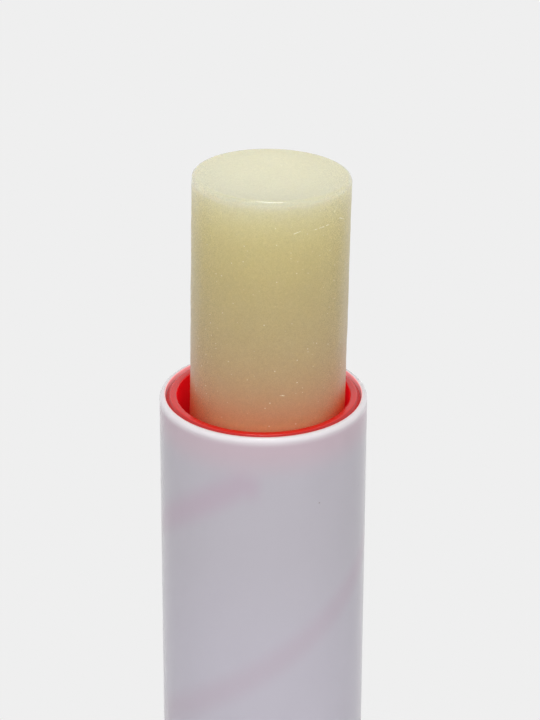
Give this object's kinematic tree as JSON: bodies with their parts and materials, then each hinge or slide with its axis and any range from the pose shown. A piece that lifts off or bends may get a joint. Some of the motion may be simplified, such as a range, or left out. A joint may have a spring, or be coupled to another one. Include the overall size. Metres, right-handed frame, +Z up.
{
  "type": "lip balm stick",
  "caption": "Lip balm stick with a swivel lift: turning the translucent sleeve on its base winds the balm out of a red guide tube through a helical cam.",
  "frame": {"origin": "centre of the base's underside, on the surface that the stick stands on", "axes": "+Z up along the stick's axis; -Y faces the viewer of the picture and +X is to their right"},
  "size_m": [0.0196, 0.0196, 0.0704],
  "materials": {
    "white_sleeve": "satin, milky translucent",
    "white_cam": "satin",
    "red_tube": "gloss, slightly translucent",
    "balm": "waxy translucent",
    "white_base": "satin",
    "natural_plug": "moulded",
    "dark_ring": "matt silicone"
  },
  "bodies": {
    "base": {"base_shell": "white_base", "base_plug": "natural_plug", "bottom_disc": "white_base", "guide_tube": "red_tube", "friction_ring": "dark_ring"},
    "sleeve": {"outer_sleeve": "white_sleeve", "spiral_sleeve": "white_cam"},
    "carriage": {"carrier_cup": "red_tube", "balm": "balm"}
  },
  "joints": [
    {"name": "sleeve_turn", "type": "hinge", "parent": "base", "child": "sleeve", "pos_m": [0, 0, 0.018], "axis": [0, 0, -1], "range_deg": [-196.4, 93.6]},
    {"name": "balm_lift", "type": "slide", "parent": "base", "child": "carriage", "axis": [0, 0, 1], "range_m": [-0.01911, 0.00911]}
  ],
  "couplings": [
    {"joint": "balm_lift", "follows": "sleeve_turn", "m_per_rad": 0.0055704}
  ]
}
